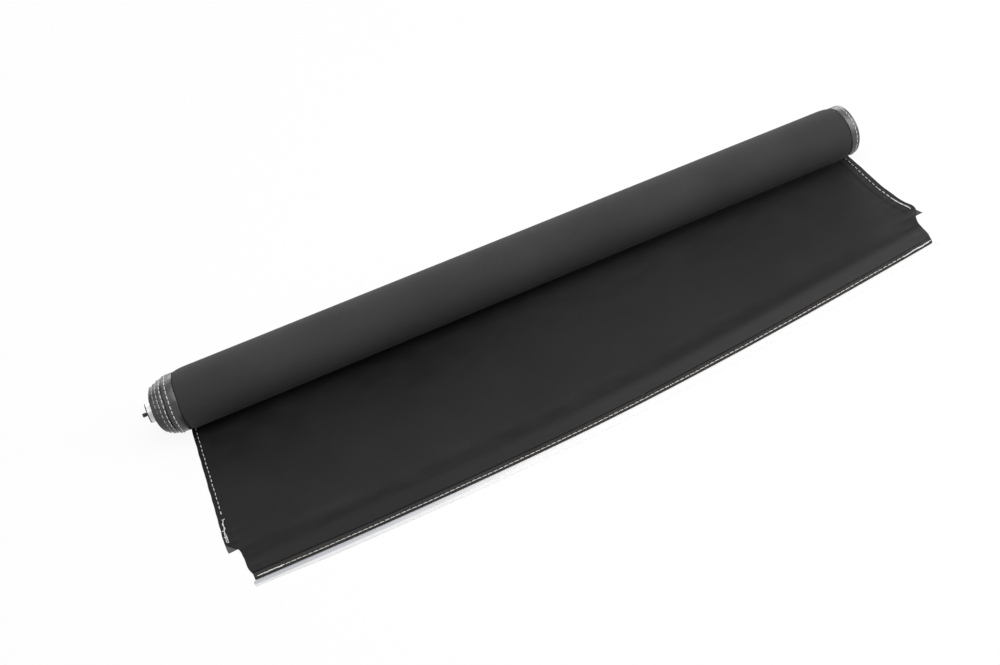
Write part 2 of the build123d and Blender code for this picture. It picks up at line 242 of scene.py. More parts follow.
def lightStage():
    world = bpy.data.worlds.new("studioSky")
    bpy.context.scene.world = world
    world.use_nodes = True
    world.node_tree.nodes.clear()
    wire = Wire(world.node_tree)
    _, _, height = split(wire, wire.node("TexCoord"))
    dimmer = between(wire, height, *studio["skyRise"], *studio["skyStrength"])
    strength = seenRay(wire) * (1.0 - dimmer) + dimmer
    sky = wire.node("Background", inputs={"Color": grey(1.0), "Strength": strength})
    wire.node("OutputWorld", inputs={"Surface": sky})
    for lamp in ("topLamp", "backLamp", "sideLamp"):
        addLamp(lamp, studio[lamp])
    for panel in ("backPanel", "rightPanel"):  # pale walls, seen in glossy finishes alone
        addLamp(panel, studio[panel]).visible_diffuse = False
    bpy.ops.mesh.primitive_plane_add(size=studio["floorSize"], location=(0, 0, -studio["floorDrop"]))
    floor = bpy.context.object
    floor.name = "studioFloor"
    floor.data.materials.append(floorMaterial())
    bpy.context.scene.view_settings.view_transform = "Standard"


addCamera()
lightStage()
print("camera and stage ready")


# Finishes of the cloth
weaveLook = {
    "threadPitch": 0.0013,
    "fibreScale": 900.0,
    "slubScale": 420.0,
    "slubStretch": (1.0, 0.16, 1.0),
    "patchScale": 9.0,
    "toneRange": (0.36, 0.91),
    "dark": grey(0.028, (1, 1, 1.03)),
    "light": grey(0.05, (1, 1, 1.02)),
    "roughness": (0.78, 0.92),
    "specular": 0.16,
    "sheen": {"Sheen Weight": 0.04, "Sheen Roughness": 0.5},
    "depth": 0.00022,
    "bump": 0.8,
}
pebble = {  # the grain that all coated sides share
    "cellScale": 780.0,
    "fineScale": 1500.0,
    "patchScale": 7.0,
    "smudgeScale": 26.0,
    "smudgeStretch": (1.0, 2.2, 1.0),
    "toneRange": (0.42, 0.8),
}
smoothLook = {
    "dark": grey(0.0098),
    "light": grey(0.015),
    "roughness": (0.5, 0.64),
    "specular": 0.11,
    "depth": 0.00012,
    "bump": 0.5,
}
hemLook = {
    **smoothLook,
    "dark": grey(0.015, (1.08, 1, 0.94)),
    "light": grey(0.025, (1.08, 1, 0.94)),
    "roughness": (0.55, 0.75),
    "specular": 0.16,
}
# painted shade along the free part's side edges, darker than the sheet
paintedShadeEdgeLook = {
    **hemLook,
    "dark": grey(0.006),
    "light": grey(0.011),
    "roughness": (0.56, 0.7),
}
tapeLook = {
    "dark": grey(0.018, (1, 1, 1.06)),
    "light": grey(0.04, (1, 1, 1.05)),
    "roughness": (0.22, 0.36),
    "specular": 0.55,
    "depth": 0.0001,
    "bump": 0.5,
    "streaks": 0.8,
    "streakScale": 1300.0,
    "streakStretch": (1.0, 0.03, 1.0),
}
paintedLightTapeLook = {  # the right tape on the roll has painted light: it is painted paler, as lit from the right
    **tapeLook,
    "dark": grey(0.036, (1.02, 1, 1.02)),
    "light": grey(0.076, (1.02, 1, 1.02)),
}


def plainWeave(wire, place, pitch):
    # over and under threads, from 0 to 1, with a little drift so that no row is dead straight
    drift = noise(wire, place, 55.0, 1.0) * (pitch * 1.6)
    across, along, _ = split(wire, place)
    warp = wire.math("SINE", (across + drift) * (tau / pitch))
    weft = wire.math("SINE", (along + drift) * (tau / pitch))
    return warp * weft * 0.5 + 0.5


def wovenMaterial(name, look):
    wire = startMaterial(name)
    where = cutPlace(wire)
    threads = plainWeave(wire, where, look["threadPitch"])
    fibres = noise(wire, where, look["fibreScale"], 3.0, 0.65)
    slubs = noise(wire, stretched(wire, where, look["slubStretch"]), look["slubScale"], 2.0)
    patches = noise(wire, where, look["patchScale"], 3.0)
    height = threads * 0.6 + fibres * 0.5 + slubs * 0.15
    tone = threads * 0.22 + fibres * 0.5 + slubs * 0.12 + patches * 0.45
    tone = between(wire, tone, *look["toneRange"])
    colour = toned(wire, tone, look)
    return endMaterial(wire, look, colour, fibres, height, look["sheen"])


def pebbledGrain(wire, where):
    # the height and tone of a coated side, and the smudges that change its gloss
    sockets = {"Vector": where, "Scale": pebble["cellScale"]}
    cells = wire.node("TexVoronoi", {"feature": "SMOOTH_F1"}, sockets)
    fine = noise(wire, where, pebble["fineScale"], 2.0)
    patches = noise(wire, where, pebble["patchScale"], 4.0)
    smudges = noise(wire, stretched(wire, where, pebble["smudgeStretch"]), pebble["smudgeScale"], 3.0)
    return cells * 0.7 + fine * 0.3, patches * 0.6 + smudges * 0.35 + fine * 0.25, smudges


def smoothMaterial(name, look, place):
    wire = startMaterial(name)
    where = place(wire)
    height, tone, smudges = pebbledGrain(wire, where)
    if "streaks" in look:  # fine lines drawn along the tape
        longer = stretched(wire, where, look["streakStretch"])
        lines = noise(wire, longer, look["streakScale"], 3.0, 0.7)
        height = height + lines * look["streaks"]
        tone = tone + lines * (look["streaks"] * 0.5) - look["streaks"] * 0.25
    tone = between(wire, tone, *pebble["toneRange"])
    return endMaterial(wire, look, toned(wire, tone, look), smudges, height)


def sheetMaterial(name, look, band):
    # the coated side of the free part, with a painted highlight band along its bowed front and a painted shade
    # stripe behind it
    wire = startMaterial(name)
    where = objectPlace(wire)
    a, b, _ = split(wire, cutPlace(wire))
    bow = wire.math("POWER", wire.math("ABSOLUTE", a - free["frontCentre"]) * 2.0, free["frontPower"])
    toFront = b - bow * free["frontBow"] + free["frontMiddle"]
    toFront = toFront + noise(wire, where, band["driftScale"], 2.0) * band["drift"]
    # painted highlight on the band in front of the swell's crest, stronger towards the right, and painted shade on
    # the stripe behind the crest
    pale, dark = (
        between(wire, toFront, *band[stops][:2]) * between(wire, toFront, *band[stops][2:], 1.0, 0)
        for stops in ("pale", "dark")
    )
    pale = pale * between(wire, a, *band["paintedLightAcross"])
    height, tone, smudges = pebbledGrain(wire, where)
    tone = between(wire, tone, *pebble["toneRange"])
    colour = toned(wire, tone, look)
    # painted light near the roll on the right, strongest next to the roll, which lifts the roll's shade on the
    # sheet there
    paintedNipLight = between(wire, a, *band["paintedNipLightAcross"]) * between(wire, b, *band["paintedNipLightAhead"])
    paintedNipLight = paintedNipLight * band["paintedNipLightShare"]
    colour = mixed(wire, paintedNipLight, colour, band["paintedLightColour"])
    colour = mixed(wire, pale, colour, band["paintedLightColour"])
    colour = mixed(wire, dark * band["paintedShadeShare"], colour, band["paintedShadeColour"])
    return endMaterial(wire, look, colour, smudges, height)


rawEdgeAndShadeLook = {
    "frayScale": 1400.0,
    "dark": grey(0.004),
    "light": grey(0.013),
    "roughness": (0.85, 0.97),
    "specular": 0.1,
    "depth": 0.0002,
}


# the dark frayed finish of cut edges; it is also painted shade in the roll's grooves beside the tape and on the
# top of the flap's back
def rawEdgeAndShadeMaterial():
    wire = startMaterial("rawEdgeAndShade")
    fray = noise(wire, objectPlace(wire), rawEdgeAndShadeLook["frayScale"], 3.0, 0.7)
    return endMaterial(wire, rawEdgeAndShadeLook, toned(wire, fray, rawEdgeAndShadeLook), fray, fray)


threadLook = {
    "twistPitch": 0.0011,
    "fluffScale": 1600.0,
    "toneRange": (0.3, 0.9),
    "dark": grey(0.62, (1.0, 0.99, 0.96)),
    "light": grey(0.92, (1.0, 0.99, 0.98)),
    "dash": (0.27, 0.33),
    "gapColour": grey(0.012),
    "roughness": (0.6, 0.8),
    "specular": 0.25,
    "depth": 0.00012,
}


def threadMaterial(name, dashPitch=None):
    # twisted white thread; with a pitch, its stitches are told apart along Y
    wire = startMaterial(name)
    where = objectPlace(wire)
    x, y, z = split(wire, where)
    twist = wire.math("SINE", (x * 0.7 + y + z) * (tau / threadLook["twistPitch"])) * 0.5 + 0.5
    fluff = noise(wire, where, threadLook["fluffScale"], 2.0)
    tone = between(wire, twist * 0.5 + fluff * 0.6, *threadLook["toneRange"])
    white = toned(wire, tone, threadLook)
    if dashPitch:
        phase = wire.math("FRACT", y * (-1.0 / dashPitch))
        gap = between(wire, wire.math("ABSOLUTE", phase - 0.5), *threadLook["dash"])
        white = mixed(wire, gap, white, threadLook["gapColour"])
    return endMaterial(wire, threadLook, white, fluff, twist + fluff * 0.4)


stripLook = {
    "streakScale": 240.0,
    "streakStretch": (0.12, 1.0, 1.0),
    "towardsLeftAlong": (-0.42, 0.05, 1.0, 0),
    "innerFrom": (-0.0068, -0.006),
    "clearColour": grey(0.93),
    "outerColour": grey(0.86),
    "innerColour": grey(0.54, (0.97, 1.0, 1.07)),
    "towardsLeftAlpha": 0.62,
    "streakAlpha": 0.06,
    "roughness": (0.12, 0.26),
    "depth": 0.00015,
    "bump": 0.4,
}


def clearStripMaterial(name, alpha):
    # clear soft plastic, greyer, bluish and less clear towards its left end, most of all next to the hem
    wire = startMaterial(name)
    where = cutPlace(wire)
    along, out, _ = split(wire, where)
    streaks = noise(wire, stretched(wire, where, stripLook["streakStretch"]), stripLook["streakScale"], 3.0)
    towardsLeft = between(wire, along + streaks * 0.05, *stripLook["towardsLeftAlong"])
    inner = between(wire, out + streaks * 0.0006, *stripLook["innerFrom"])
    towardsLeftColour = mixed(wire, inner, stripLook["outerColour"], stripLook["innerColour"])
    colour = mixed(wire, towardsLeft, stripLook["clearColour"], towardsLeftColour)
    alpha = towardsLeft * stripLook["towardsLeftAlpha"] + alpha + streaks * stripLook["streakAlpha"]
    more = {"IOR": 1.53, "Alpha": wire.math("MINIMUM", alpha, 1.0)}
    return endMaterial(wire, stripLook, colour, streaks, streaks, more)


wovenCloth = wovenMaterial("wovenCloth", weaveLook)
hemTape = smoothMaterial("hemTape", tapeLook, cutPlace)
paintedLightTape = smoothMaterial("paintedLightTape", paintedLightTapeLook, cutPlace)
rawEdgeAndShade = rawEdgeAndShadeMaterial()
whiteThread = threadMaterial("whiteThread")
print("cloth finishes ready")


# Mesh helpers
def activate(piece):
    bpy.ops.object.select_all(action="DESELECT")
    piece.select_set(True)
    bpy.context.view_layer.objects.active = piece


def readValues(items, name, size, kind=float):
    # one row for each item of a mesh
    values = np.empty(len(items) * size, dtype=kind)
    items.foreach_get(name, values)
    return values.reshape(-1, size)


def readPoints(piece):
    return readValues(piece.data.vertices, "co", 3)


def writePoints(piece, points):
    piece.data.vertices.foreach_set("co", np.ascontiguousarray(points, dtype=float).ravel())
    piece.data.update()


def softShade(piece, angle):
    activate(piece)
    bpy.ops.object.shade_smooth_by_angle(angle=radians(angle))


def clothGrid(name, across, along, shape):
    # a flat grid whose points are taken to their place; its UV map keeps the flat cut in metres
    bpy.ops.mesh.primitive_grid_add(x_subdivisions=len(across) - 1, y_subdivisions=len(along) - 1, size=1)
    piece = bpy.context.object
    piece.name = name
    points = readPoints(piece)
    columns = np.rint((points[:, 0] + 0.5) * (len(across) - 1)).astype(int)
    rows = np.rint((points[:, 1] + 0.5) * (len(along) - 1)).astype(int)
    placed, cut = shape(np.asarray(across)[columns], np.asarray(along)[rows])
    writePoints(piece, placed)
    layer = piece.data.uv_layers.active
    layer.name = "cut"
    corners = readValues(piece.data.loops, "vertex_index", 1, int)[:, 0]
    layer.data.foreach_set("uv", cut[corners].ravel())
    return piece


def readCut(piece):
    # where each face's middle lies on the flat cut
    cut = readValues(piece.data.uv_layers.active.data, "uv", 2)
    sides = readValues(piece.data.polygons, "loop_total", 1, int)[:, 0]
    first = np.concatenate([[0], np.cumsum(sides)[:-1]])
    return np.add.reduceat(cut, first, axis=0).T / sides


def editAll(piece):
    activate(piece)
    bpy.ops.object.mode_set(mode="EDIT")
    bpy.ops.mesh.select_all(action="SELECT")


def endEdit():
    bpy.ops.object.mode_set(mode="OBJECT")


def facesOut(piece, away):
    # away gives the outward direction at face centres; the faces are flipped if they point inwards
    centres = readValues(piece.data.polygons, "center", 3)
    normals = readValues(piece.data.polygons, "normal", 3)
    if (normals * away(centres)).sum() < 0:
        editAll(piece)
        bpy.ops.mesh.flip_normals()
        endEdit()


def addMaterials(piece, *materials):
    for material in materials:
        piece.data.materials.append(material)


def pickMaterials(piece, index):
    piece.data.polygons.foreach_set("material_index", index.astype(np.int32))


def thicken(piece, thickness, offset=-1, angle=40):
    # gives a sheet its thickness, with cut edges in its second material
    activate(piece)
    modifier = piece.modifiers.new("thickness", "SOLIDIFY")
    modifier.thickness = thickness
    modifier.offset = offset
    modifier.material_offset_rim = 1
    bpy.ops.object.modifier_apply(modifier=modifier.name)
    softShade(piece, angle)


def fromAxis(centres):
    return np.stack([0 * centres[:, 0], centres[:, 1], centres[:, 2] - axisHeight], axis=1)


def upwards(centres):
    return np.tile((0, 0, 1.0), (len(centres), 1))


def smoothStep(value, low, high):
    share = np.clip((value - low) / (high - low), 0, 1)
    return share * share * (3 - 2 * share)


def wander(along, seed, size, waves):
    # a slow uneven drift, a few sines of unlike length
    dice = np.random.default_rng(seed)
    total = 0 * along
    for _ in range(5):
        weight, pace, shift = dice.uniform(0.4, 1.0), dice.uniform(0.5, 1.7), dice.uniform(0, tau)
        total = total + weight * np.sin(along * waves * pace + shift)
    return size * total / 3


def throughPoints(value, stops):
    # a smooth curve through (place, height) stops
    places, heights = (np.array(column) for column in zip(*stops))
    slopes = np.gradient(heights, places)
    index = np.clip(np.searchsorted(places, value) - 1, 0, len(places) - 2)
    span = places[index + 1] - places[index]
    share = np.clip((value - places[index]) / span, 0, 1)
    rise = heights[index + 1] - heights[index]
    first, second = slopes[index] * span, slopes[index + 1] * span
    bend, twist = 3 * rise - 2 * first - second, first + second - 2 * rise
    return heights[index] + (share * first + share ** 2 * bend + share ** 3 * twist)


# The roll of cloth
roll = {
    "edge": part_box("wound_cover")[1].x,
    "radius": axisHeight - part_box("wound_cover")[0].z,
    "innerRadius": 0.0153,
    "looseTurns": 6,
    "tightTurns": 2,
    "pitch": 0.0026,
    "stepsPerTurn": 72,
    "clothThickness": 0.001,
    "hemDrop": 0.0024,
    "hemWidth": (0.015, 0.0112),
    "tapeThickness": 0.0006,
    "shoulder": 0.018,
    "edgeCurl": 0.0004,
    "grooveDepth": 0.0008,
    "grooveWidth": 0.0011,
    "lapDepth": 0.0011,
    "lapInset": 0.0068,
    "lapWidth": 0.0011,
    "lapTurns": (0.85, 1.1),
    "skew": (
        (0, 0), (0.5, 0), (1.1, 0.0058), (1.7, 0.01035), (2.2, 0.0132), (2.7, 0.0158), (3.2, 0.0188),
        (3.5, 0.0206), (3.75, 0.02), (4.2, 0.0212), (5.0, 0.0226), (6.0, 0.0226), (8.0, 0.0216),
    ),
    "cone": (0.0001, -0.0057),
    "slump": (0.0009, -0.0013),
    "slumpTurn": 0.87,
    "largest": 0.0431,
    "lowest": 0.0013,
    "lowestRise": 0.0012,
    "leftTrim": 0.0022,
    "trimAcross": (0.4, 0.5),
    "leftSway": (
        (0, -0.004), (0.25, -0.0042), (0.39, -0.0031), (0.46, -0.0018), (0.53, 0.0003), (0.61, 0.0011),
        (0.69, 0.0016), (0.75, 0.0005), (0.8, -0.0012), (0.87, -0.0028), (1.0, -0.004),
    ),
    "rightSway": (
        (0, -0.0068), (0.2, -0.0078), (0.39, -0.008), (0.43, -0.0062), (0.475, -0.0041), (0.53, -0.0017),
        (0.59, 0.0004), (0.65, 0.0014), (0.7, 0.0009), (0.76, -0.001), (0.81, -0.0032), (0.87, -0.0056),
        (1.0, -0.0068),
    ),
    "swayDrift": 0.0005,
    "swayAcross": (0.3, 0.48),
    "waist": (0.015, 0.011),
    "waistTurns": 0.32,
    "waistAcross": (0.3, 0.47),
    "tuckTurns": 0.07,
    "tuck": 0.0012,
    "ripple": 0.00022,
    "edgeColumns": (0, 0.003, 0.0055, 0.0068, 0.008),
    "besideHem": np.array(
        (-0.0007, 0, 0.0005, 0.0011, 0.0018, 0.003, 0.005, 0.008, 0.012, 0.017, 0.023, 0.03)
    ),
    "middleColumns": 24,
    "hemColumns": (0, 0.0005, 0.0015, 0.003, 0.0055, 0.0068, 0.008, 0.0095),
    "hemRim": 0.0006,
    "hemLift": 0.00003,
    "paintedShadeOverlap": 0.0008,
}
turnsInAll = roll["looseTurns"] + roll["tightTurns"]


def turnRadius(turns):
    last = roll["radius"] - roll["pitch"] * roll["looseTurns"]
    places = (0, roll["looseTurns"], turnsInAll)
    radius = np.interp(turns, places, (roll["radius"], last, roll["innerRadius"]))
    return radius - roll["tuck"] * (1 - smoothStep(turns, 0, roll["tuckTurns"]))


# The spiral in fine steps, to go from turns to metres of cloth and back
turnSteps = np.linspace(0, turnsInAll, 2000)
stepLengths = turnRadius((turnSteps[1:] + turnSteps[:-1]) / 2) * np.diff(turnSteps) * tau
lengthSoFar = np.concatenate([[0], np.cumsum(stepLengths)])


def woundLength(turns):
    return np.interp(turns, turnSteps, lengthSoFar)


def turnsAtLength(length):
    return np.interp(length, lengthSoFar, turnSteps)


def onRoll(across, turns, lift=0):
    # a point on the outside of the wound cloth, lifted off it; across runs from the left edge to the right
    left, outwards = across < 0, np.abs(across)
    inset = roll["edge"] - outwards
    hemWidth = np.where(left, *roll["hemWidth"])
    radius = turnRadius(turns)
    share = (radius - roll["innerRadius"]) / (roll["radius"] - roll["innerRadius"])
    shoulder = np.clip((inset - hemWidth) / roll["shoulder"], 0, 1)
    curl = np.clip(1 - inset / hemWidth, 0, 1)
    groove = np.exp(-((inset - hemWidth - roll["grooveWidth"] / 2) / roll["grooveWidth"] * 2) ** 2)
    radius = radius - share * roll["hemDrop"] * (1 - shoulder) ** 2
    radius = radius - roll["edgeCurl"] * curl ** 2 - roll["grooveDepth"] * groove
    lap = np.exp(-((inset - roll["lapInset"]) / roll["lapWidth"]) ** 2) * smoothStep(turns, *roll["lapTurns"])
    radius = radius - roll["lapDepth"] * lap * left
    cone = roll["cone"][0] + roll["cone"][1] * across
    slump = (roll["slump"][0] + roll["slump"][1] * across) * np.cos((turns - roll["slumpTurn"]) * tau)
    radius = np.minimum(radius + share * (cone + slump), roll["largest"]) + lift
    radius = radius + wander(across * 2 + turns * 0.37, 3, roll["ripple"], 9) * wander(turns, 4, 1.0, tau)
    waist = np.where(left, *roll["waist"]) * (1 - smoothStep(turns, 0, roll["waistTurns"]))
    drawnIn = np.sign(across) * waist * smoothStep(outwards, *roll["waistAcross"])
    part = np.mod(turns, 1)
    sway = np.where(left, -throughPoints(part, roll["leftSway"]), throughPoints(part, roll["rightSway"]))
    sway = (sway + wander(turns, 7, roll["swayDrift"], tau)) * smoothStep(outwards, *roll["swayAcross"])
    trim = roll["leftTrim"] * smoothStep(-across, *roll["trimAcross"])
    x = across - drawnIn - throughPoints(turns, roll["skew"]) + sway + trim
    angle = turns * tau
    height = axisHeight - radius * np.cos(angle)
    height = np.maximum(height, roll["lowest"] + np.minimum(turns, 1) * roll["lowestRise"] - lift)
    return np.stack([x, radius * np.sin(angle), height], axis=-1)


def woundSheet(name, columns, place):
    # a sheet along the whole spiral; place gives where its columns lie across the cloth, and their lift
    turns = np.linspace(0, turnsInAll, turnsInAll * roll["stepsPerTurn"] + 1)

    def shape(column, turn):
        across, lift = place(column)
        return onRoll(across, turn, lift), np.stack([across, woundLength(turn)], axis=1)

    piece = clothGrid(name, columns, turns, shape)
    facesOut(piece, fromAxis)
    return piece


def makeWoundCover():
    left, right = (
        [inset - roll["edge"] for inset in (*roll["edgeColumns"], *(roll["besideHem"] + width))]
        for width in roll["hemWidth"]
    )
    middle = np.linspace(left[-1], -right[-1], roll["middleColumns"])[1:-1]
    columns = left + list(middle) + [-x for x in reversed(right)]
    piece = woundSheet("woundCover", columns, lambda across: (across, 0))
    addMaterials(piece, wovenCloth, rawEdgeAndShade)
    across, _ = readCut(piece)
    beyondHem = roll["edge"] - np.abs(across) - np.where(across < 0, *roll["hemWidth"])
    # faces in the groove beside the tape get the dark finish as painted shade
    pickMaterials(piece, (beyondHem > -roll["paintedShadeOverlap"]) & (beyondHem < roll["grooveWidth"]))
    thicken(piece, roll["clothThickness"])
    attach(piece, "roller")
    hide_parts("wound_cover")
    2 * roll["edge"]


def makeWoundHem(word, side):
    width = roll["hemWidth"][side > 0]
    insets = (*roll["hemColumns"], width - roll["hemRim"], width)
    edge, lift = roll["edge"], roll["hemLift"]
    piece = woundSheet(f"wound{word}Hem", insets, lambda inset: (side * (edge - inset), lift))
    # the right tape gets the paler finish, which is painted light
    addMaterials(piece, hemTape if side < 0 else paintedLightTape, rawEdgeAndShade)
    thicken(piece, roll["tapeThickness"], 1)
    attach(piece, "roller")
    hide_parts(f"wound_{word.lower()}_hem")


# Stitches, one modelled and the rest copies of it
stitch = {
    "pitch": 0.0073,
    "length": 0.0056,
    "radius": 0.00066,
    "rightRadius": 0.00054,
    "freePitch": 0.0087,
    "freeLength": 0.006,
    "insets": ((0.0054, 0.0062), (0.0052, 0.007)),
    "woundInsets": (0.0046, 0.0038),
    "woundStart": 0.004,
    "waver": 0.00015,
    "zigzag": (0, 0.0009),  # the right seam wavers a little
    "sunk": 0.6,
}


def makeStitchShape():
    # a six-sided thread, one unit long along X, that dips at both ends
    half = ((0.2, 1.0, 0.15), (0.42, 0.85, -0.3), (0.5, 0.45, -0.9))
    rings = [(-x, size, height) for x, size, height in reversed(half)] + list(half)
    bpy.ops.mesh.primitive_circle_add(vertices=6, radius=1, fill_type="NGON", rotation=(0, pi / 2, 0))
    piece = bpy.context.object
    bpy.ops.object.transform_apply(location=True, rotation=True, scale=True)
    editAll(piece)
    x, size, height = rings[0]
    bpy.ops.transform.resize(value=(1, size, size), center_override=(0, 0, 0))
    bpy.ops.transform.translate(value=(x, 0, height))
    for (x0, size0, height0), (x1, size1, height1) in zip(rings, rings[1:]):
        step = (x1 - x0, 0, height1 - height0)
        bpy.ops.mesh.extrude_region_move(TRANSFORM_OT_translate={"value": step})
        grow = size1 / size0
        bpy.ops.transform.resize(value=(1, grow, grow), center_override=(x1, 0, height1))
    endEdit()
    shape = readPoints(piece), [tuple(face.vertices) for face in piece.data.polygons]
    bpy.data.objects.remove(piece)
    return shape


def sew(name, starts, ends, ups, radius=stitch["radius"]):
    # copies the stitch from each start to its end, standing on the side that ups names
    points, faces = stitchShape
    starts, ends, ups = (np.asarray(values, dtype=float) for values in (starts, ends, ups))
    along = ends - starts
    sideways = np.cross(ups, along)
    sideways /= np.linalg.norm(sideways, axis=1, keepdims=True)
    ups = np.cross(along, sideways)
    ups /= np.linalg.norm(ups, axis=1, keepdims=True)
    middle = (starts + ends) / 2
    placed = (
        middle[:, None]
        + points[None, :, :1] * along[:, None]
        + points[None, :, 1:2] * sideways[:, None] * radius
        + points[None, :, 2:] * ups[:, None] * radius
    )
    count = len(points)
    firsts = range(0, count * len(starts), count)
    copies = [tuple(corner + first for corner in face) for first in firsts for face in faces]
    mesh = bpy.data.meshes.new(name)
    mesh.from_pydata(placed.reshape(-1, 3).tolist(), [], copies)
    piece = bpy.data.objects.new(name, mesh)
    bpy.context.scene.collection.objects.link(piece)
    editAll(piece)
    bpy.ops.mesh.normals_make_consistent(inside=False)
    endEdit()
    bpy.ops.object.shade_smooth()
    addMaterials(piece, whiteThread)
    return piece


def makeWoundStitches(word, side):
    lengths = np.arange(stitch["woundStart"], woundLength(turnsInAll) - stitch["pitch"], stitch["pitch"])
    dice = np.random.default_rng(21 if side < 0 else 22)
    lean = dice.uniform(-stitch["waver"], stitch["waver"], (2, len(lengths)))
    lean = lean + np.array([[1], [-1]]) * stitch["zigzag"][side > 0] / 2
    lift = roll["tapeThickness"] + stitch["radius"] * stitch["sunk"]
    ends = []
    for shift, offsets in zip((0, stitch["length"]), lean):
        across = side * (roll["edge"] - stitch["woundInsets"][side > 0]) + offsets
        ends.append(onRoll(across, turnsAtLength(lengths + shift), lift))
    radius = stitch["radius"] if side < 0 else stitch["rightRadius"]
    piece = sew(f"wound{word}Stitches", ends[0], ends[1], fromAxis((ends[0] + ends[1]) / 2), radius)
    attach(piece, "roller")
    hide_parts(f"wound_{word.lower()}_thread")


stitchShape = makeStitchShape()
makeWoundCover()
for word, side in (("Left", -1), ("Right", 1)):
    makeWoundHem(word, side)
    makeWoundStitches(word, side)
print("roll ready")

# The free part of the cloth, drawn in its own turned plane: a runs across it, b towards the roll
free = {
    "thickness": 0.001,
    "tail": 0.0015,
    "hemWidth": 0.015,
    "tapeThickness": 0.0006,
    "leftEdge": (
        (-0.07, 0.495), (0, 0.5023), (0.09, 0.5118), (0.15, 0.5181), (0.19, 0.5231), (0.1955, 0.5236),
    ),
    "leftNotch": (
        (0.1955, 0.5236), (0.199, 0.5216), (0.2041, 0.5178), (0.209, 0.5139), (0.2125, 0.5113),
        (0.2187, 0.5092), (0.2308, 0.5086), (0.2442, 0.5087), (0.256, 0.5087), (0.2635, 0.5068),
        (0.2676, 0.5054), (0.2723, 0.5062), (0.2762, 0.5069),
    ),
    "leftTape": (
        (-0.07, 0.4956), (0, 0.5029), (0.09, 0.5124), (0.15, 0.5187), (0.19, 0.5232), (0.213, 0.5239),
    ),
    "rightEdge": (
        (0, 0.4996), (0.06, 0.5012), (0.105, 0.503), (0.134, 0.5038), (0.158, 0.5068), (0.1744, 0.5086),
        (0.1837, 0.511), (0.2011, 0.5163), (0.2051, 0.516),
    ),
    "rightNotch": (
        (0.2051, 0.516), (0.2082, 0.5143), (0.2125, 0.5113), (0.2167, 0.5085), (0.2253, 0.5047),
        (0.2322, 0.5027), (0.2448, 0.5021), (0.2589, 0.5018), (0.2668, 0.4995), (0.2727, 0.498),
        (0.276, 0.4965),
    ),
    "rightTape": (
        (0, 0.5), (0.06, 0.5016), (0.105, 0.5034), (0.134, 0.5042), (0.158, 0.5072), (0.1744, 0.5088),
        (0.1837, 0.511), (0.2011, 0.5155), (0.206, 0.5157), (0.2163, 0.5193),
    ),
    "edgeWave": 0.00035,
    "plainStart": -0.06,
    "plainEnd": -0.225,
    "frontTuck": 0.0012,
    "edgeColumns": (
        0, 0.0006, 0.002, 0.0045, 0.0075, 0.011, 0.0135, 0.015, 0.016, 0.017, 0.018, 0.02, 0.0225, 0.025,
        0.028, 0.031, 0.035, 0.039, 0.044,
    ),
    "middleColumns": 150,
    "halfWidthAbout": 0.51,
    "frontMiddle": 0.3003,
    "frontBow": 0.0245,
    "frontCentre": -0.004,
    "frontPower": 1.7,
    "frontHem": 0.0129,
    "stripThickness": 0.0008,
    "bandWidth": 0.0058,
    "stretchStart": (0, -0.002, 0),
    "stretchEnd": (0, -0.135, 0),
}
lie = {  # how the free cloth lies on the floor
    "hemSlope": 0.003,
    "earStart": (0.196, 0.206),
    "stripSlope": (0.0085, 0.0115),
    "swell": 0.0036,
    "swellStart": 0.009,
    "swellCrest": 0.038,
    "swellEnd": 0.078,
    "unevenness": 0.0011,
    "pucker": 0.0006,
    "puckerPitch": 0.017,
    "puckerInset": 0.014,
    "puckerReach": 0.01,
    "tug": 0.00035,
    "tugPitch": 0.013,
    "tugPlace": 0.017,
    "tugReach": 0.009,
}


def turned(a, b, z):
    x = a * cos(layAngle) - b * sin(layAngle)
    return np.stack([x, a * sin(layAngle) + b * cos(layAngle), z], axis=-1)


def halfWidth(b, side):
    # distance of the cloth's side edge from the middle, at a distance ahead of the roll
    ahead = -np.asarray(b, dtype=float)
    word = "left" if side < 0 else "right"
    edge, notch = free[word + "Edge"], free[word + "Notch"]
    width = np.where(ahead < edge[-1][0], throughPoints(ahead, edge), throughPoints(ahead, notch))
    return width + edgeWave(b, side)


def edgeWave(b, side):
    # the cut edges waver a little
    return wander(np.asarray(b, dtype=float), 43 + side, free["edgeWave"], 190)


def frontLine(a):
    share = np.abs((a - free["frontCentre"]) / 0.5)
    return -free["frontMiddle"] + free["frontBow"] * share ** free["frontPower"]


def backLine(a):
    return (free["tail"] - a * sin(layAngle)) / cos(layAngle)


def edgeInset(a, b):
    return np.where(a < 0, a + halfWidth(b, -1), halfWidth(b, 1) - a)


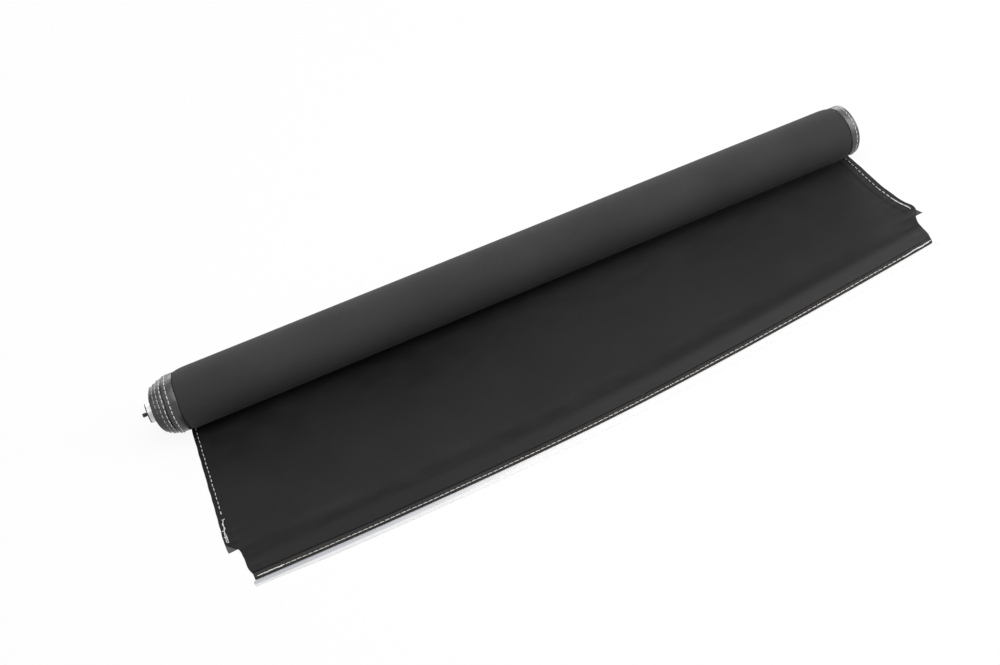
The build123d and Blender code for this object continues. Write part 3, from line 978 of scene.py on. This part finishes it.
def sheetTop(a, b):
    # height of the free cloth's upper face over the floor
    inset = edgeInset(a, b)
    toFront = b - frontLine(a)
    hem = 1 - smoothStep(inset, free["hemWidth"], free["hemWidth"] + lie["hemSlope"])
    hem = free["tapeThickness"] * hem * (1 - smoothStep(-b, *lie["earStart"]))
    strip = free["stripThickness"] * (1 - smoothStep(toFront, *lie["stripSlope"]))
    crest = lie["swellCrest"]
    swell = smoothStep(toFront, lie["swellStart"], crest) * (1 - smoothStep(toFront, crest, lie["swellEnd"]))
    strength = 0.85 + wander(a, 11, 0.25, 9) - 0.45 * smoothStep(np.abs(a), 0.33, 0.5)
    swell = lie["swell"] * swell * strength
    uneven = wander(a + 0.6 * b, 12, 0.8, 24) * wander(b - 0.3 * a, 13, 0.8, 34)
    calm = smoothStep(-b, 0.02, 0.1) * smoothStep(toFront, 0, 0.03)
    uneven = lie["unevenness"] * np.maximum(0, uneven + 0.35) * calm
    ruck = np.sin(b * tau / lie["puckerPitch"] + wander(b, 14, 1.2, 40))
    ruck = ruck * np.exp(-((inset - lie["puckerInset"]) / lie["puckerReach"]) ** 2)
    ruck = lie["pucker"] * np.maximum(0, ruck) * smoothStep(-b, 0.05, 0.09)
    tug = np.sin(a * tau / lie["tugPitch"] + wander(a, 15, 1.0, 60))
    tug = tug * np.exp(-((toFront - lie["tugPlace"]) / lie["tugReach"]) ** 2)
    tug = lie["tug"] * np.maximum(0, tug) * smoothStep(np.abs(a), 0.25, 0.42)
    return free["thickness"] + np.maximum(hem, strip) + swell + uneven + ruck + tug


def freeRows():
    # row places from 0 to 3: roll to plain part, plain part, and the front with its bow
    near = np.linspace(0, 1, 22)
    plain = np.unique(np.concatenate([np.linspace(1, 2, 40), 1 + np.linspace(0.74, 0.93, 24)]))
    front = 2 + np.concatenate([np.linspace(0, 0.72, 18), np.linspace(0.76, 1, 12)])
    return np.concatenate([near, plain[1:], front[1:]])


def rowPlace(row, a):
    start, end = free["plainStart"], free["plainEnd"]
    near, plain, front = (np.clip(row - part, 0, 1) for part in range(3))
    b = backLine(a) + (start - backLine(a)) * near
    b = b + (end - start) * plain
    return b + (frontLine(a) + free["frontTuck"] - end) * front


def placeAcross(share, along):
    # share runs from -1 at the left edge to 1 at the right one; along gives b for each a
    a = share * 0.5
    for _ in range(8):
        b = along(a)
        a = share * np.where(share < 0, halfWidth(b, -1), halfWidth(b, 1))
    return a, b


def crossShares():
    left = [inset / free["halfWidthAbout"] - 1 for inset in free["edgeColumns"]]
    middle = np.linspace(left[-1], -left[-1], free["middleColumns"])[1:-1]
    return left + list(middle) + [-x for x in reversed(left)]


def followCloth(piece):
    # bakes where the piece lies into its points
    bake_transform(piece)


def makeFreeSheet():
    def shape(share, row):
        a, b = placeAcross(share, lambda a: rowPlace(row, a))
        return turned(a, b, sheetTop(a, b)), np.stack([a, b], axis=1)

    piece = clothGrid("freeSheet", crossShares(), freeRows(), shape)
    facesOut(piece, upwards)
    addMaterials(piece, sheetCloth, rawEdgeAndShade, paintedShadeEdge)
    a, b = readCut(piece)
    # faces near the side edges, short of the ears, get the painted shade finish
    pickMaterials(piece, 2 * ((edgeInset(a, b) < free["bandWidth"]) & (-b < free["leftEdge"][-1][0])))
    thicken(piece, free["thickness"], angle=60)
    followCloth(piece)
    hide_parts("free_sheet")


def makeFreeHem(word, side):
    edge = free[word.lower() + "Tape"]
    insets = (0, 0.001, 0.005, 0.01, 0.014, free["hemWidth"])
    last = -edge[-1][0]
    gap = 0.00002  # keeps the tape clear of the cloth and of the floor

    def shape(inset, row):
        a = side * (0.5 - inset)
        for _ in range(4):
            b = backLine(a) + (last - backLine(a)) * row
            a = side * (throughPoints(-b, edge) + edgeWave(b, side) - inset)
        return turned(a, b, 0 * a + free["tapeThickness"] - gap), np.stack([a, b], axis=1)

    piece = clothGrid(f"free{word}Hem", insets, np.linspace(0, 1, 60), shape)
    facesOut(piece, upwards)
    addMaterials(piece, hemTape, rawEdgeAndShade)
    thicken(piece, free["tapeThickness"] - 2 * gap)
    followCloth(piece)
    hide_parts(f"free_{word.lower()}_hem")
    backLine(side * 0.5) - last


def makeThread(name, points, radius, material):
    # one length of round thread through the points, its ends closed
    bpy.ops.curve.primitive_nurbs_path_add()
    piece = bpy.context.object
    piece.name = name
    curve = piece.data
    curve.splines.clear()
    spline = curve.splines.new("POLY")
    spline.points.add(len(points) - 1)
    spline.points.foreach_set("co", np.c_[points, np.ones(len(points))].ravel())
    curve.bevel_depth = radius
    curve.bevel_resolution = 1
    curve.use_fill_caps = True
    activate(piece)
    bpy.ops.object.convert(target="MESH")
    piece.data.materials.clear()
    addMaterials(piece, material)
    bpy.ops.object.shade_smooth()
    return piece


def seamInset(side, b):
    # the seam drifts away from the edge between the roll and the ear
    near, far = stitch["insets"][side > 0]
    return near + (far - near) * smoothStep(-b, 0, 0.12)


def stitchPoint(side, b, inset, lift=0):
    a = side * (halfWidth(b, side) - inset)
    return turned(a, b, sheetTop(a, b) + lift)


sideSeam = {
    "beadEnd": -0.138,
    "leftEnd": -0.153,
    "rightEnd": -0.2035,
    "doubledFrom": -0.17,
    "doubledShift": 0.0006,
    "beadRadius": 0.00052,
    "beadPoints": 90,
    "beadGap": 0.0012,
    "lift": 0.0003,
}


def makeFreeStitches(word, side):
    # a bead near the roll, then single stitches out to the ear
    places = np.linspace(backLine(side * 0.49) - 0.001, sideSeam["beadEnd"], sideSeam["beadPoints"])
    path = stitchPoint(side, places, seamInset(side, places), sideSeam["lift"])
    bead = makeThread(f"free{word}Thread", path, sideSeam["beadRadius"], dashedThread)
    followCloth(bead)
    end = sideSeam[word.lower() + "End"]
    length = stitch["freeLength"]
    starts = np.arange(sideSeam["beadEnd"] - sideSeam["beadGap"], end + length, -stitch["freePitch"])
    insets = seamInset(side, starts)
    if side > 0:
        doubled = np.arange(sideSeam["doubledFrom"], end + length, -stitch["freePitch"] / 2)
        starts = np.concatenate([starts, doubled])
        insets = np.concatenate([insets, seamInset(side, doubled) - sideSeam["doubledShift"]])
    ends = [stitchPoint(side, starts - shift, insets, sideSeam["lift"]) for shift in (0, length)]
    piece = sew(f"free{word}Stitches", *ends, upwards(starts))
    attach(piece, "front_edge")
    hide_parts(f"free_{word.lower()}_thread")


tangle = {
    "radius": 0.0005,
    "points": 220,
    "path": (
        (0.155, 0.0088), (0.1568, 0.0066), (0.16, 0.0057), (0.165, 0.0052), (0.17, 0.0049),
        (0.1738, 0.0042), (0.1744, 0.0012), (0.1752, 0.004), (0.18, 0.005), (0.185, 0.0058),
        (0.19, 0.006), (0.196, 0.0055), (0.1978, 0.0044), (0.1935, 0.0036), (0.189, 0.004),
        (0.1856, 0.0024), (0.188, 0.005), (0.184, 0.0042), (0.178, 0.0044), (0.171, 0.006),
        (0.164, 0.0042), (0.159, 0.0066), (0.1552, 0.0052),
    ),
    "crossing": 0.0004,
}


def makeLooseThread():
    # the left seam ends in a few long passes of thread, with two short ends that stand out of them
    share = np.linspace(0, 1, tangle["points"])
    places = np.linspace(0, 1, len(tangle["path"]))
    ahead, inset = (throughPoints(share, list(zip(places, column))) for column in zip(*tangle["path"]))
    lift = tangle["radius"] * (0.7 + 1.5 * share) + tangle["crossing"] * np.abs(np.sin(share * tau * 7))
    piece = makeThread("looseThread", stitchPoint(-1, -ahead, inset, lift), tangle["radius"], whiteThread)
    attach(piece, "front_edge")


frontSeam = {
    "inset": 0.0035,
    "pitch": 0.0076,
    "length": 0.0068,
    "radius": 0.00052,
    "ends": (-0.502, 0.492),
    "drift": 0.0003,
    "backstitch": (0.034, 0.042),
    "backPitch": (0.0031, 0.0021),
    "backDrift": 0.0009,
    "lift": 0.0012,
}
flap = {
    "profile": (  # distance behind the fold and height, in millimetres
        (11, 0.02), (11, 0.86), (10.7, 0.98), (8.9, 1), (7.5, 1), (5, 0.99), (4.1, 0.9), (3.5, 0.86),
        (2.9, 0.9), (2, 0.97), (1.1, 0.88), (0.4, 0.62), (0.05, 0.2), (0, -0.15), (0.2, -0.6), (0.7, -0.92),
        (1.1, -0.92), (1.1, -0.4), (1.1, 0.02), (3.5, 0.02), (7.5, 0.02),
    ),
    "seam": 0.0035,
    "profileWidth": 0.011,
    "corner": 0.9999,
    "cornerRound": 0.0016,
    "seamTug": 0.00012,
    "drift": 0.00035,
    "joint": 0.045,
    "jointGap": 0.0055,
    "jointWidth": 0.0046,
    "narrow": 0.0005,
    "taper": 0.0036,
    "rawEdgeAndShadeFrom": 0.0091,
    "stripEnds": (-0.51, 0.5016),
    "stripTuck": 0.0055,
}


def flapWidth(a):
    # the raw edge at the back of the flap; its two lengths meet near the middle
    joint, gap = flap["joint"], flap["jointGap"]
    width = free["frontHem"] - flap["taper"] * a + wander(a, 41, flap["drift"], 30)
    width = width - flap["narrow"] * (a < joint)
    hook = smoothStep(a, joint - 0.0002, joint + 0.0002)
    hook = hook * (1 - smoothStep(a, joint + gap * 0.55, joint + gap))
    return width + (flap["jointWidth"] - width) * hook


def makeFrontHem():
    corner, seam = flap["corner"], flap["seam"]
    joint = flap["joint"] / 0.5
    stations = np.concatenate([
        np.linspace(-corner, joint - 0.004, 300),
        np.linspace(joint - 0.003, joint + 0.016, 26),
        np.linspace(joint + 0.018, corner, 260),
    ])
    profile = np.array(flap["profile"]) / 1000
    section = np.arange(len(profile) + 1)

    def shape(index, share):
        # what lies behind the seam is drawn out to the flap's width, and the corners are rounded
        fromFold, height = profile[index.astype(int) % len(profile)].T
        a, _ = placeAcross(share, lambda a: frontLine(a) + 0.003)
        scale = np.where(fromFold > seam, (flapWidth(a) - seam) / (flap["profileWidth"] - seam), 1)
        toFront = seam + (fromFold - seam) * scale
        rounded = smoothStep(np.abs(share), 0.997, 1.0) * smoothStep(0.003 - toFront, 0, 0.003)
        rounded = flap["cornerRound"] * rounded
        a, b = placeAcross(share, lambda a: frontLine(a) + toFront + rounded)
        under = np.maximum(b, frontLine(a) + 0.00115)
        tug = flap["seamTug"] * np.sin(a * tau / frontSeam["pitch"]) * (height > 0.0005)
        return turned(a, b, sheetTop(a, under) + height + tug), np.stack([a, fromFold], axis=1)

    piece = clothGrid("frontHem", section, stations, shape)
    editAll(piece)
    bpy.ops.mesh.remove_doubles(threshold=0.000001)
    bpy.ops.mesh.select_all(action="DESELECT")
    bpy.ops.mesh.select_non_manifold()
    bpy.ops.mesh.edge_face_add()
    bpy.ops.mesh.select_all(action="SELECT")
    bpy.ops.mesh.normals_make_consistent(inside=False)
    endEdit()
    addMaterials(piece, hemCloth, rawEdgeAndShade)
    _, fromFold = readCut(piece)
    # the flap's back face gets the dark finish, and the top just in front of it a painted shadow line
    pickMaterials(piece, fromFold > flap["rawEdgeAndShadeFrom"])
    softShade(piece, 50)
    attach(piece, "front_edge")
    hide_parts("front_hem")


def makeEdgeStrip():
    insets = (0.009, 0.0085, 0.002, -0.003, -0.006, -0.009, -0.0118, -0.0125)
    leftEnd, rightEnd = flap["stripEnds"]

    def shape(inset, share):
        # what lies under the hem stops short of its ends
        tuck = flap["stripTuck"] * smoothStep(inset, -0.001, 0.002)
        a = leftEnd + tuck + (rightEnd - leftEnd - 2 * tuck) * share
        reach = 1 - 0.22 * smoothStep(-a, 0.4, 0.5) - 0.42 * smoothStep(a, 0.38, 0.5)
        out = np.where(inset < 0, inset * reach, inset)
        wave = 0.0004 * np.maximum(0, wander(a, 51, 1.0, 26)) * smoothStep(-out, 0.002, 0.012)
        b = frontLine(a) + out
        return turned(a, b, free["stripThickness"] + wave), np.stack([a, out], axis=1)

    piece = clothGrid("edgeStrip", insets, np.linspace(0, 1, 260), shape)
    facesOut(piece, upwards)
    addMaterials(piece, clearStrip, clearStripEdge)
    thicken(piece, free["stripThickness"])
    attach(piece, "front_edge")
    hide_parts("edge_strip")


def makeFrontStitches():
    (first, last), (left, right) = frontSeam["ends"], frontSeam["backstitch"]
    leftPitch, rightPitch = frontSeam["backPitch"]
    leftBack = np.arange(first - 0.001, first - 0.001 + left, leftPitch)
    rightBack = np.arange(last + 0.001 - right, last, rightPitch)
    starts = np.arange(first, last, frontSeam["pitch"])
    insets = frontSeam["inset"] + wander(starts, 61, frontSeam["drift"], 50)
    dice = np.random.default_rng(62)
    for extra in (leftBack, rightBack):
        starts = np.concatenate([starts, extra])
        drift = dice.uniform(-frontSeam["backDrift"], frontSeam["backDrift"], len(extra))
        insets = np.concatenate([insets, frontSeam["inset"] + drift])
    ends = []
    for shift in (0, frontSeam["length"]):
        a = starts + shift
        b = frontLine(a) + insets
        ends.append(turned(a, b, sheetTop(a, b) + frontSeam["lift"]))
    piece = sew("frontStitches", *ends, upwards(starts), frontSeam["radius"])
    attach(piece, "front_edge")
    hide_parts("front_thread")


# painted highlight and painted shade bands along the sheet's front, and painted light near the roll on the right
frontBand = {
    "pale": (0.01, 0.013, 0.028, 0.04),
    "dark": (0.036, 0.044, 0.05, 0.072),
    "drift": 0.003,
    "driftScale": 14.0,
    "paintedLightAcross": (-0.35, 0.4, 0.22, 1.0),
    "paintedShadeShare": 0.75,
    # painted light near the roll on the right
    "paintedNipLightAcross": (-0.25, 0.15),
    "paintedNipLightAhead": (-0.24, -0.04, 0.2, 1.0),
    "paintedNipLightShare": 0.42,
    "paintedLightColour": grey(0.029, (1, 1, 1.02)),
    "paintedShadeColour": grey(0.0055),
}
sheetCloth = sheetMaterial("sheetCloth", smoothLook, frontBand)
hemCloth = smoothMaterial("hemCloth", hemLook, objectPlace)
paintedShadeEdge = smoothMaterial("paintedShadeEdge", paintedShadeEdgeLook, objectPlace)
dashedThread = threadMaterial("dashedThread", stitch["freePitch"])
clearStrip = clearStripMaterial("clearStrip", 0.07)
clearStripEdge = clearStripMaterial("clearStripEdge", 0.45)
makeFreeSheet()
for word, side in (("Left", -1), ("Right", 1)):
    makeFreeHem(word, side)
    makeFreeStitches(word, side)
makeLooseThread()
makeEdgeStrip()
makeFrontHem()
makeFrontStitches()
print("free part ready")


# Finishes of the hardware, whose shapes come from the CAD nodes
def metalMaterial(name, look):
    wire = startMaterial(name)
    where = stretched(wire, objectPlace(wire), look.get("scale", (1, 1, 1)))
    marks = noise(wire, where, look["grain"], 4.0, 0.6)
    stains = noise(wire, where, look["grain"] * 0.08, 3.0)
    tone = between(wire, marks * 0.4 + stains * 0.7, 0.35, 0.8)
    colour = mixed(wire, tone, grey(0.62, look["tint"]), grey(1, look["tint"]))
    relief = {"depth": 0.00015, "bump": 0.5}
    metallic = {"Metallic": look.get("metallic", 1.0)}
    return endMaterial(wire, {**look, **relief}, colour, marks * 0.6 + stains * 0.4, marks, metallic)


def plasticMaterial(name, look):
    wire = startMaterial(name)
    where = objectPlace(wire)
    grain = noise(wire, where, look["grain"], 3.0)
    cloud = noise(wire, where, 60.0, 2.0)
    tone = between(wire, cloud + grain * 0.3, 0.4, 0.9)
    colour = mixed(wire, tone, grey(0.7, look["tint"]), grey(1, look["tint"]))
    relief = {"specular": 0.45, "depth": 0.0001, "bump": 0.6}
    return endMaterial(wire, {**look, **relief}, colour, grain, grain)


metals = {
    "tubeAluminium": {
        "tint": (0.8, 0.81, 0.82), "roughness": (0.25, 0.42), "grain": 700.0, "scale": (0.02, 1, 1),
        "nodes": ("roller_tube",),
    },
    "castPlug": {
        "tint": (0.8, 0.8, 0.81), "roughness": (0.32, 0.48), "grain": 900.0, "nodes": ("left_end_plug",),
    },
    "blackSteel": {
        "tint": (0.045, 0.045, 0.047), "roughness": (0.3, 0.44), "grain": 800.0, "metallic": 0.85,
        "nodes": ("idler_pin",),
    },
    "turnedSteel": {
        "tint": (0.58, 0.57, 0.55), "roughness": (0.22, 0.38), "grain": 900.0, "scale": (2, 0.1, 0.1),
        "nodes": ("spindle_rod", "spindle_clip", "hub_pin", "plug_rivets"),
    },
    "springSteel": {
        "tint": (0.36, 0.36, 0.37), "roughness": (0.28, 0.42), "grain": 1200.0,
        "nodes": ("torsion_spring", "idler_pin_spring"),
    },
}
plastics = {
    "blackPlastic": {
        "tint": (0.02, 0.02, 0.021), "roughness": (0.38, 0.52), "grain": 1200.0,
        "nodes": ("right_end_plug", "spring_anchor_plug", "spring_hub"),
    },
    "discPlastic": {
        "tint": (0.006, 0.006, 0.006), "roughness": (0.62, 0.78), "grain": 1200.0,
        "nodes": ("left_end_disc",),
    },
    "nylon": {
        "tint": (0.78, 0.77, 0.72), "roughness": (0.34, 0.48), "grain": 700.0,
        "nodes": ("idler_bush", "right_bush", "thrust_washer", "cloth_spline"),
    },
    "sleevePlastic": {
        "tint": (0.1, 0.1, 0.11), "roughness": (0.42, 0.56), "grain": 900.0, "nodes": ("spring_sleeve",),
    },
}
for looks, makeMaterial in ((metals, metalMaterial), (plastics, plasticMaterial)):
    for name, look in looks.items():
        material = makeMaterial(name, look)
        for node in look["nodes"]:
            nodes[node].data.materials.clear()
            nodes[node].data.materials.append(material)
print("hardware ready")
